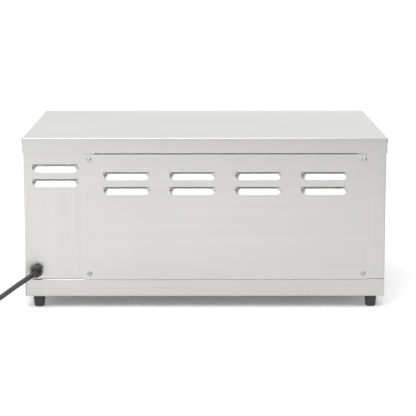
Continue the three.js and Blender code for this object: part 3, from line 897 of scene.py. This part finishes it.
def add_base():
    x0, x1, y0, y1, z0, z1 = span("base_tray")
    lip, far = 12, BEND + BORDER
    profile = filleted(
        [
            (far, z0),
            (0, z0, BEND),
            (0, z1, BEND),
            (lip, z1, 0.3),
            (lip, z1 - SHEET, 0.3),
            (SHEET, z1 - SHEET, BEND - SHEET),
            (SHEET, z0 + SHEET, BEND - SHEET),
            (far, z0 + SHEET),
        ]
    )
    shell = pan("z", (x0, x1, y0, y1), profile, BEND)
    tray = span("crumb_tray")
    slot = cuboid(tray[0] + 2, tray[1] - 2, y0 - 4, y0 + 4, z0 + SHEET, tray[5] - 1, 0.4)
    vents = []
    for k in range(6):
        y = y0 + 83.5 + k * 50
        vents.append(prism("z", rounded_rectangle(205, 265, y, y + 7, 3.4), z0 - 1, z0 + 3))
    piece("base_pan", cut(shell, slot, *vents), "stainless_x", "casing", "base_tray")


def screw(axis, sign):
    """A pan-head screw with a cross recess; its head rests on the face at 0."""
    shape = [(0, -7), (1.9, -7, 0.3), (1.9, 0.05), (3.9, 0.05, 0.15), (3.9, 2.6, 2.1), (0, 2.6)]
    body = lathed("z", shape, sides=40)
    arm, half, low = 2.4, 0.55, 1.2
    bars = []
    for a, b in ((arm, half), (half, arm)):
        bars.append(prism("z", rounded_rectangle(-a, a, -b, b, 0.3, 2), low, 4))
    made = cut(body, *bars)
    rotated(made, "Z", 24)
    if axis == "y":
        return rotated(made, "X", -90 * sign)
    return rotated(made, "Y", 90 * sign)


def add_screws():
    face = span("rear_cover")[3]
    for name in COVER_SCREWS:
        at = middle(name)
        head = moved(screw("y", 1), (at.x, face, at.z))
        piece(f"{name}_head", head, "plated_screw", "casing", name)
    for side, sign, x in (("left", -1, span("lid")[0]), ("right", 1, span("lid")[1])):
        name = f"lid_screw_{side}"
        at = middle(name)
        head = moved(screw("x", sign), (x, at.y, at.z))
        piece(f"{name}_head", head, "plated_screw", "casing", name)


def add_feet():
    for end in ("front", "rear"):
        for side in ("left", "right"):
            name = f"foot_{end}_{side}"
            at = middle(name)
            at.z = 0
            top = span(name)[5]
            shape = [(0, 7), (4.2, 7), (4.2, 0, 0.6), (8.2, 0, 1.9)]
            shape += [(9.7, top - 1.6), (9.9, top, 0.4), (0, top)]
            piece(f"rubber_{name}", lathed("z", shape, at, 56), "rubber_foot", "casing", name)
            shape = [(0, 3.4), (2, 3.4, 0.3), (3.6, 5, 0.6), (3.6, 6.9), (0, 6.9)]
            piece(f"{name}_screw", lathed("z", shape, at, 32), "plated_screw", "casing")


def add_gland():
    """A cable gland: a hexagonal body against the panel, and a domed nut that grips the cord."""
    at = middle("cord_gland")
    face = span("left_side_panel")[3]
    length = span("cord_gland")[3] - face
    corner = 19 / sqrt(3)  # from the middle to a corner, for 19 mm across the flats
    hexagon = [Vector((corner * sin(pi / 3 * k), corner * cos(pi / 3 * k))) for k in range(6)]
    shape = [(0, 0.05), (10.9, 0.05), (10.9, 3.6, 0.8), (9.6, 5.2, 0.4), (0, 5.2)]
    rounded = lathed("y", shape, sides=72)
    body = combined("INTERSECT", prism("y", hexagon, 0.05, 5.2), rounded)
    shape = [(0, 5.8), (9.9, 5.8, 0.5), (10.7, 7, 0.8), (10.7, 12, 3), (8.9, 17.5, 4)]
    shape += [(6.4, length, 1.2), (4.5, length, 0.4), (4.5, length - 5), (0, length - 5)]
    dome = lathed("y", shape, sides=72)
    nut = combined("INTERSECT", prism("y", hexagon, 5.8, length + 1), dome)
    neck = turned("y", [(0, 4), (8.6, 4), (8.6, 7), (0, 7)], sides=48)
    thread = turned("y", [(0, -8), (7.9, -8), (7.9, 1), (0, 1)], sides=48)
    bm = moved(joined(body, neck, nut, thread), (at.x, face, at.z))
    piece("gland_body", bm, "black_nylon", "casing", "cord_gland", bevel=0.25)


# ---- Door


def window_frame(outer, window, corner, section):
    """A frame round a window. Its section is a closed line of (edge, inset or outset, y)."""
    rings = []
    for edge, step, y in section:
        if edge == "outer":
            x0, x1, z0, z1 = (outer[0] + step, outer[1] - step, outer[2] + step, outer[3] - step)
            radius = corner - step
        else:
            x0, x1, z0, z1 = (window[0] - step, window[1] + step, window[2] - step, window[3] + step)
            radius = corner + step
        rings.append([Vector((p.x, y, p.y)) for p in rounded_rectangle(x0, x1, z0, z1, radius)])
    return loft(rings, around=True)


def add_door():
    x0, x1, face, rear, z0, z1 = span("door_outer_frame")
    outer = (x0, x1, z0, z1)
    glass = span("door_glass")
    lap, corner, bend, lip = 10, 3.6, 2.8, 0.4
    window = (glass[0] + lap, glass[1] - lap, glass[4] + lap, glass[5] - lap)
    section = [("outer", lip / 2, rear), ("outer", 0, rear - lip / 2)]
    section += [("outer", across, face + along) for along, across in quarter(bend)[::-1]][::-1]
    section += [("outer", bend + BORDER, face), ("window", lip + BORDER, face)]
    section += [("window", lip, face), ("window", lip / 4, face + lip / 4), ("window", 0, face + lip)]
    section += [("window", 0, face + SHEET)]
    section += [("outer", SHEET + across, face + SHEET + along) for across, along in quarter(bend - SHEET)]
    section += [("outer", SHEET, rear - lip / 2), ("outer", SHEET - lip / 2, rear)]
    shell = window_frame(outer, window, corner, section)
    piece("door_front_sheet", shell, "stainless_x", "door", "door_outer_frame")

    pane = [(across, glass[2] + along) for across, along in quarter(1.2)]
    pane += [(across, glass[3] - along) for across, along in quarter(1.2)[::-1]]
    pane = pan("y", (glass[0], glass[1], glass[4], glass[5]), pane, 5)
    piece("door_pane", pane, "clear_glass", "door", "door_glass")

    _, _, collar, rear, _, _ = span("door_inner_frame")
    front, fold = rear - SHEET, 2.4
    section = [("outer", 0.3, rear), ("outer", 0, rear - 0.3)]
    section += [("outer", 0, front + 0.3), ("outer", 0.3, front)]
    section += [("window", fold + BORDER, front)]
    section += [("window", SHEET + across, front - along) for across, along in quarter(fold - SHEET)]
    section += [("window", SHEET, collar), ("window", 0, collar)]
    section += [("window", across, rear - along) for across, along in quarter(fold)[::-1]]
    section += [("window", fold + BORDER, rear)]
    liner = window_frame(outer, window, corner, section)
    piece("door_liner", liner, "stainless_x", "door", "door_inner_frame")
    shape = [(0, rear - 3), (1.4, rear - 3), (1.4, rear), (3.4, rear, 0.2)]
    shape += [(2.6, rear + 1.3, 0.8), (0, rear + 1.4)]
    places = [(x, z) for z in (z0 + 18, z1 - 16) for x in (x0 + 20, x1 - 20)]
    for k, (x, z) in enumerate(places):
        piece(f"door_liner_screw_{k}", lathed("y", shape, (x, 0, z), 28), "plated_screw", "door")


def add_handle():
    x0, x1, y0, y1, z0, z1 = span("handle_bar")
    radius = (z1 - z0) / 2
    groove = radius - 0.45
    end = [(0, 0), (radius - 1.6, 0, 0.6), (radius, 2.2, 1.4), (radius, 7.6)]
    end += [(groove, 8.2), (groove, 8.9), (radius, 9.5)]
    profile = filleted([(r, x0 + w, *rounding) for r, w, *rounding in end])
    mirrored = [(p.x, x0 + x1 - p.y) for p in profile[::-1]]
    bar = turned("x", [*profile, *mirrored], (0, (y0 + y1) / 2, (z0 + z1) / 2), 56)
    piece("door_handle", bar, "stainless_x", "door", "handle_bar")
    for side in ("left", "right"):
        name = f"handle_post_{side}"
        x0, x1, y0, y1, _, _ = span(name)
        at = middle(name)
        wide, waist = (x1 - x0) / 2, 4.6
        shape = [(0, y0), (waist + 0.6, y0, 0.4), (waist + 0.4, y0 + 2, 2), (waist, y0 + 7, 8)]
        shape += [(waist, y1 - 8, 8), (wide, y1 - 2.6, 1.2), (wide, y1, 0.4), (0, y1)]
        post = lathed("y", shape, (at.x, 0, at.z))
        piece(f"door_{name}", post, "black_nylon", "door", name)


def add_hinges():
    for side in ("left", "right"):
        node = f"hinge_pin_{side}"
        x0, x1, _, _, z0, z1 = span(node)
        at = middle(node)
        head, shank, reach = (z1 - z0) / 2, 2.5, x1 - x0
        shape = [(0, 0), (shank - 0.5, 0), (shank, 0.6), (shank, reach - 0.8)]
        shape += [(head, reach - 0.8, 0.15), (head, reach, 0.4), (0, reach)]
        pin = lathed("x", shape, sides=32)
        at.x = x0
        if side == "left":
            rotated(pin, "Z", 180)
            at.x = x1
        piece(f"door_pin_{side}", moved(pin, at), "chromed_steel", "casing", node)


# ---- Controls


def on_fascia(node):
    """The point on the fascia's face in front of a control."""
    at = middle(node)
    at.y = span("control_fascia")[2]
    return at


def add_fascia():
    x0, x1, face, rear, z0, z1 = span("control_fascia")
    bend = 2.4
    far = bend + BORDER
    profile = [(far, face)] + [(across, face + along) for across, along in quarter(bend)]
    profile += [(0, rear - 0.2), (0.2, rear), (SHEET - 0.2, rear), (SHEET, rear - 0.2)]
    profile += [(SHEET + across, face + SHEET + along) for across, along in quarter(bend - SHEET)[::-1]]
    profile += [(far, face + SHEET)]
    shell = pan("y", (x0, x1, z0, z1), profile, 2.6)
    tools = []
    openings = {"temperature_knob": 5, "timer_knob": 5, "power_lamp": 4.4, "heating_lamp": 4.4}
    for node, radius in openings.items():
        shape = [(0, -1), (radius, -1), (radius, 3), (0, 3)]
        tools.append(turned("y", shape, on_fascia(node), 40))
    opening = cuboid(-25.4, 25.4, -3, 5, -13.4, 13.4, 1)
    tools.append(moved(opening, on_fascia("switch_bezel")))
    piece("fascia_sheet", cut(shell, *tools), "stainless_x", "casing", "control_fascia")


def fluted(levels, flutes, per_flute=4):
    """A solid along Y with flutes round it; each of its levels is (radius, y, depth of a flute)."""
    count = flutes * per_flute
    turns = [2 * pi * k / count for k in range(count)]
    rings = []
    for radius, y, depth in levels:
        reach = [radius - depth * (1 - cos(a * flutes)) / 2 for a in turns]
        rings.append([PLACE["y"](r * cos(a), r * sin(a), y) for r, a in zip(reach, turns)])
    return loft(rings)


def lettering(text, size, thickness):
    """Numerals in the XZ plane, centred on the origin and readable from -Y."""
    curve = bpy.data.curves.new("numerals", "FONT")
    curve.body = text
    curve.size = size
    curve.align_x, curve.align_y = "CENTER", "CENTER"
    curve.extrude = thickness / 2
    made = bpy.data.objects.new("numerals", curve)
    scene.collection.objects.link(made)
    bm = bmesh.new()
    bm.from_mesh(evaluated_mesh(made))
    bpy.data.objects.remove(made)
    return rotated(bm, "X", 90)


def gathered(parts):
    """Separate solids in one mesh."""
    whole = bmesh.new()
    for part in parts:
        mesh = bpy.data.meshes.new("part")
        outward(part).to_mesh(mesh)
        part.free()
        whole.from_mesh(mesh)
        bpy.data.meshes.remove(mesh)
    return whole


def add_dial(name, node, labels, travel, ticks_between):
    """A printed scale of ticks and numerals, clockwise from the top."""
    ink, ring, numerals = 0.06, 21.4, 27.4
    steps = (len(labels) - 1) * ticks_between
    parts = []
    for k in range(steps + 1):
        major = k % ticks_between == 0
        length, half = (2.4, 0.3) if major else (1.4, 0.18)
        tick = cuboid(-half, half, -ink, 0.02, ring, ring + length, 0.02, 1)
        parts.append(rotated(tick, "Y", travel * k / steps))
    for k, label in enumerate(labels):
        angle = radians(travel * k / (len(labels) - 1))
        at = (numerals * sin(angle), -0.03, numerals * cos(angle))
        parts.append(moved(lettering(label, 4.3, 0.08), at))
    piece(name, moved(gathered(parts), on_fascia(node)), "black_print", "casing")


def add_knob(name, node, body):
    """A fluted skirt with a tapered grip across it, and a white line along the grip."""
    at = on_fascia(node)
    x0, x1, y0, y1, _, _ = span(node)
    radius, front, back = (x1 - x0) / 2, y0 - at.y, y1 - at.y
    top, flutes, depth = -8, 48, 0.35
    levels = [(0.5, -1, 0), (0, -1.5, 1), (0, -3.6, 1), (0.5, -4.4, 0), (2.2, -6.9, 0), (4.2, top, 0)]
    skirt = fluted([(radius - inset, y, depth * share) for inset, y, share in levels], flutes)
    spindle = turned("y", [(0, -2), (3, -2), (3, back - 0.5), (2.5, back), (0, back)], sides=32)
    levels = [(0, top + 3), (0, top - 0.5), (0.2, top - 2)]
    levels += [(0.9, front + 2.4), (1.3, front + 1), (2.4, front + 0.08)]
    rows = []
    for inset, y in levels:
        half_x, half_z = 6 - inset * 1.15, 17 - inset
        ring = rounded_rectangle(-half_x, half_x, -half_z, half_z, 3.4 - inset * 0.4)
        rows.append([PLACE["y"](p.x, p.y, y) for p in ring])
    knob = moved(joined(skirt, loft(rows), spindle), at)
    piece(f"{name}_body", knob, "black_nylon", body, node)
    line = prism("y", rounded_rectangle(-0.7, 0.7, 3, 14.2, 0.5, 3), front, front + 0.5)
    piece(f"{name}_pointer", moved(line, at), "white_print", body)


def add_lamp(node, look):
    """A domed lens with a stepped rim, in a black holder that passes through the fascia."""
    at = on_fascia(node)
    back = span(node)[3] - at.y
    lens = [(0, -0.6), (3.7, -0.6, 0.2), (3.7, -2.2, 0.5), (2.9, -3.3, 1.2), (0, -4)]
    piece(f"{node}_lens", lathed("y", lens, at, 40), look, "casing", node)
    rim = [(3.8, -0.8), (3.8, -2.3, 0.2), (4.4, -2.6, 0.3), (5.5, -1.6, 0.6), (5.5, -0.05, 0.1)]
    holder = filleted([*rim, (3.9, -0.05), (3.9, back, 0.5), (0, back)])
    holder = [(0, -0.5), (3.8, -0.5), *[tuple(p) for p in holder]]
    piece(f"{node}_holder", turned("y", holder, at), "black_nylon", "casing")


def add_switches():
    """Two rocker keys in one surround, each with a bar and a ring for on and off."""
    at = on_fascia("switch_bezel")
    half_x, half_z, column = 10.6, 11.6, 12.4
    flange = [(1.6, -2.2), (0.5, -1.9), (0, -1.2), (0, -0.05)]
    rim = pan("y", (-28, 28, -16, 16), flange, 3.2)
    body = pan("y", (-25, 25, -13, 13), [(0, -1), (0, 19), (1, 20)], 1.2)
    wells = []
    for x in (-column, column):
        well = rounded_rectangle(x - half_x, x + half_x, -half_z, half_z, 0.8, 3)
        wells.append(prism("y", well, -4, 15))
    bezel = moved(cut(joined(rim, body), *wells), at)
    piece("switch_surround", bezel, "black_nylon", "casing", "switch_bezel", bevel=0.2)
    add_rocker("heat_rocker", "heat_switch", at + Vector((-column, 2, 0)))
    add_rocker("spit_rocker", "spit_switch", at + Vector((column, 2, 0)))


def add_rocker(node, body, place):
    """A key whose face is a shallow V, tipped to its off side."""
    tip, valley, end, end_z = -8, -2.2, -4.2, 10.4
    line = [(3.4, 8.2), (end, end_z, 0.8), (valley, 0, 14), (end, -end_z, 0.8)]
    line = filleted([*line, (9, -6, 1), (9, 6, 1), (3.4, 8.2)])[1:-1]
    key = rotated(prism("x", line, -9.9, 9.9), "X", tip)
    bar = prism("y", rounded_rectangle(-0.45, 0.45, -1.9, 1.9, 0.3, 3), -0.06, 0.2)
    ring = lathe_ring("y", [(1.2, -0.06), (1.9, -0.06), (1.9, 0.2), (1.2, 0.2)], 32)
    tilt = degrees(atan2(valley - end, end_z))
    marks = []
    for mark, z in ((bar, 5.9), (ring, -5.9)):
        rotated(mark, "X", tilt if z > 0 else -tilt)
        marks.append(moved(mark, (0, valley - (valley - end) * abs(z) / end_z, z)))
    marks = rotated(gathered(marks), "X", tip)
    piece(f"{node}_key", moved(key, place), "black_nylon", body, node, bevel=0.45)
    piece(f"{node}_marks", moved(marks, place), "white_print", body)


# ---- Cavity


def keep(node, look, width=0.4):
    """A CAD solid that stays as it is, with softened edges and its own material."""
    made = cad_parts[node]
    weld = made.modifiers.new("weld", "WELD")
    weld.merge_threshold = 0.002 * MM
    flat = made.modifiers.new("flat", "DECIMATE")
    flat.decimate_type = "DISSOLVE"
    flat.angle_limit = radians(1)
    add_bevel(made, width)
    weighted = made.modifiers.new("shading", "WEIGHTED_NORMAL")
    weighted.keep_sharp = False
    dress(made, look)


def add_crumb_tray():
    x0, x1, y0, y1, z0, z1 = span("crumb_tray")
    lip, wall, proud, top = 4, 1.0, 2.7, z1 - 5
    hollow = [(wall + 3, z0 + wall)] + [(wall + a, z0 + wall + b) for a, b in quarter(3)]
    outside = [(0, top - 0.3)] + [(a, z0 + b) for a, b in quarter(4)[::-1]]
    profile = [*hollow, (wall, top - 0.2), (wall - 0.2, top), (0.2, top), *outside]
    pan_rect = (x0 + lip, x1 - lip, y0 + proud + 0.6, y1)
    body = pan("z", pan_rect, profile, 4.5)
    low = z0 + 1.7
    plate = [(a, y0 + b) for a, b in quarter(1.1)]
    plate = pan("y", (x0, x1, low, z1), [*plate, (0, y0 + proud - 0.4), (0.4, y0 + proud)], 3)
    grip = prism("y", rounded_rectangle(-62, 22, low + 7.5, low + 15, 3.6), y0 - 1, y0 + proud + 2)
    plate = cut(plate, grip)
    front = y0 + proud
    seam = cuboid(x0 + lip + 6, x1 - lip - 6, front - 0.6, front + 2, z0 + 2.2, z0 + 3.4, 0.3)
    tray = joined(body, plate, seam)
    piece("crumb_pan", tray, "cavity_steel", "crumb_drawer", "crumb_tray")


def add_elements():
    for height in ("upper", "lower"):
        node = f"{height}_element"
        x0, x1, y0, y1, z0, z1 = span(node)
        radius = (z1 - z0) / 2
        at = middle(node)
        half = (y1 - y0) / 2 - radius
        left, bend = x0 + radius, 28
        line = [(x1, half), (left + bend, half)]
        line += [(left + across, half - along) for across, along in quarter(bend, 12)[1:]]
        line = [Vector((x, at.y + y, at.z)) for x, y in line]
        mirrored = [Vector((p.x, 2 * at.y - p.y, p.z)) for p in line[::-1]]
        route = []
        for a, b in zip([*line, *mirrored], [*line, *mirrored][1:]):
            count = max(1, ceil((b - a).length / 24))
            route += [a.lerp(b, k / count) for k in range(count)]
        rod = sweep([*route, mirrored[-1]], circle(0, 0, radius - 0.05, 24))
        piece(f"{height}_heating_rod", rod, "element_steel", "casing", node)


# ---- Spit


def add_spit():
    """A square shaft with a round journal, its drive coupling, and the bush that it turns in."""
    x0, x1, _, _, z0, z1 = span("spit_shaft")
    at = middle("spit_shaft")
    at.x = 0
    half, journal, square = (z1 - z0) / 2, 3.5, x0 + 17
    bar = rounded_rectangle(-half, half, -half, half, 0.8, 3)
    rings = []
    for x, share in ((square, 0.86), (square + 1.4, 1), (x1 - 1.2, 1), (x1, 0.88)):
        rings.append([Vector((x, p.x * share, p.y * share)) for p in bar])
    shape = [(0, x0), (journal - 0.9, x0, 0.3), (journal, x0 + 1.4, 0.4)]
    shape += [(journal, square + 3), (0, square + 3)]
    shaft = joined(loft(rings), lathed("x", shape, sides=40))
    piece("spit_rod", moved(shaft, at), "chromed_steel", "spit", "spit_shaft")

    x0, x1, _, _, z0, z1 = span("drive_coupling")
    radius, socket = (z1 - z0) / 2, half + 0.4
    groove = radius - 0.5
    shape = [(0, x0), (radius, x0, 0.8), (radius, x0 + 15, 0.2), (groove, x0 + 15.6)]
    shape += [(groove, x0 + 17), (radius, x0 + 17.6), (radius, x1, 0.5), (0, x1)]
    hole = cuboid(x0 - 1, x0 + 16, -socket, socket, -socket, socket, 0.3, 2)
    hub = cut(lathed("x", shape), hole)
    piece("spit_coupling", moved(hub, at), "element_steel", "spit", "drive_coupling")

    x0, x1, _, _, z0, z1 = span("spit_bearing")
    radius, bore, neck, shoulder = (z1 - z0) / 2, journal + 0.4, 6, x0 + 4.3
    start = (bore, x1 - 0.6)
    shape = [start, (bore + 0.6, x1), (radius - 0.2, x1, 0.8), (radius, shoulder, 0.3)]
    shape += [(neck, shoulder), (neck, x0, 0.4), (bore, x0), start]
    bush = lathe_ring("x", [tuple(p) for p in filleted(shape)[:-1]], 48)
    piece("spit_bush", moved(bush, at), "brass_bush", "casing", "spit_bearing")


def add_forks():
    """A hub on the square shaft, a cross bar, and two pointed prongs."""
    for side, turn in (("left", 0), ("right", 180)):
        node, body = f"fork_{side}", f"{side}_fork"
        axis = middle("spit_shaft")
        x0, x1 = span(node)[:2]
        hub, bore, prong_z, reach = 8, 4.4, 18, 66
        centre = (x0 + hub if side == "left" else x1 - hub, axis.y, axis.z)
        block = cuboid(-hub, hub, -hub, hub, -hub, hub, 1)
        bar = cuboid(-2, 2, -5, 5, -21, 21, 0.9)
        shape = [(0, -2.6), (1.9, -2.6, 0.5), (1.9, 50, 30), (1.1, 60, 12)]
        shape += [(0.35, reach - 0.4, 0.3), (0, reach)]
        prongs = [lathed("x", shape, (0, 0, z), 24) for z in (-prong_z, prong_z)]
        square = cuboid(-9, 9, -bore, bore, -bore, bore, 0.3, 2)
        tapped = turned("y", [(0, 0), (2.9, 0), (2.9, 9), (0, 9)], sides=24)
        fork = rotated(cut(joined(block, bar, *prongs), square, tapped), "Z", turn)
        piece(f"spit_{node}", moved(fork, centre), "chromed_steel", body, node)
        shape = [(0, 4.75), (2.0, 4.75), (2.5, 5.2), (2.5, 10), (0, 10)]
        shank = turned("y", filleted(shape), sides=28)
        knurl = fluted([(5.7, 9, 0), (6.5, 9.8, 0.45), (6.5, 14, 0.45), (5.6, 15, 0)], 30)
        screw_shape = rotated(joined(knurl, shank), "Z", turn)
        name = f"fork_thumbscrew_{side}"
        piece(f"{name}_knurled", moved(screw_shape, centre), "chromed_steel", body, name)


def add_inside():
    """The CAD solids that serve as they are, most of them out of sight."""
    for wall in ("left_wall", "right_wall", "rear_wall", "roof"):
        keep(f"cavity_{wall}", "cavity_steel")
    keep("front_frame", "stainless_x", 0.3)
    keep("partition", "galvanised")
    for height in ("upper", "lower"):
        keep(f"{height}_element_bracket", "galvanised", 0.3)
    for side in ("left", "right"):
        keep(f"hinge_bracket_{side}", "galvanised", 0.3)
    keep("gear_motor", "galvanised", 1)
    keep("thermostat", "galvanised", 0.8)
    keep("timer", "galvanised", 0.8)
    keep("terminal_block", "terminal_ivory", 0.6)
    keep("thermostat_bulb", "brass_bush", 0.3)


# ---- Assembly

add_camera()
add_looks()
add_cord()
add_stage()
add_lid()
add_side_panel("left", -1)
add_side_panel("right", 1)
add_rear_cover()
add_base()
add_screws()
add_feet()
add_gland()
add_door()
add_handle()
add_hinges()
add_fascia()
add_dial("temperature_scale", "temperature_knob", ["0", "50", "100", "150", "200", "250"], 270, 5)
add_dial("timer_scale", "timer_knob", ["0", "10", "20", "30", "40", "50", "60"], 300, 5)
add_knob("temperature_dial", "temperature_knob", "temperature_control")
add_knob("timer_dial", "timer_knob", "timer_control")
add_lamp("power_lamp", "red_lens")
add_lamp("heating_lamp", "amber_lens")
add_switches()
add_crumb_tray()
add_elements()
add_spit()
add_forks()
add_inside()
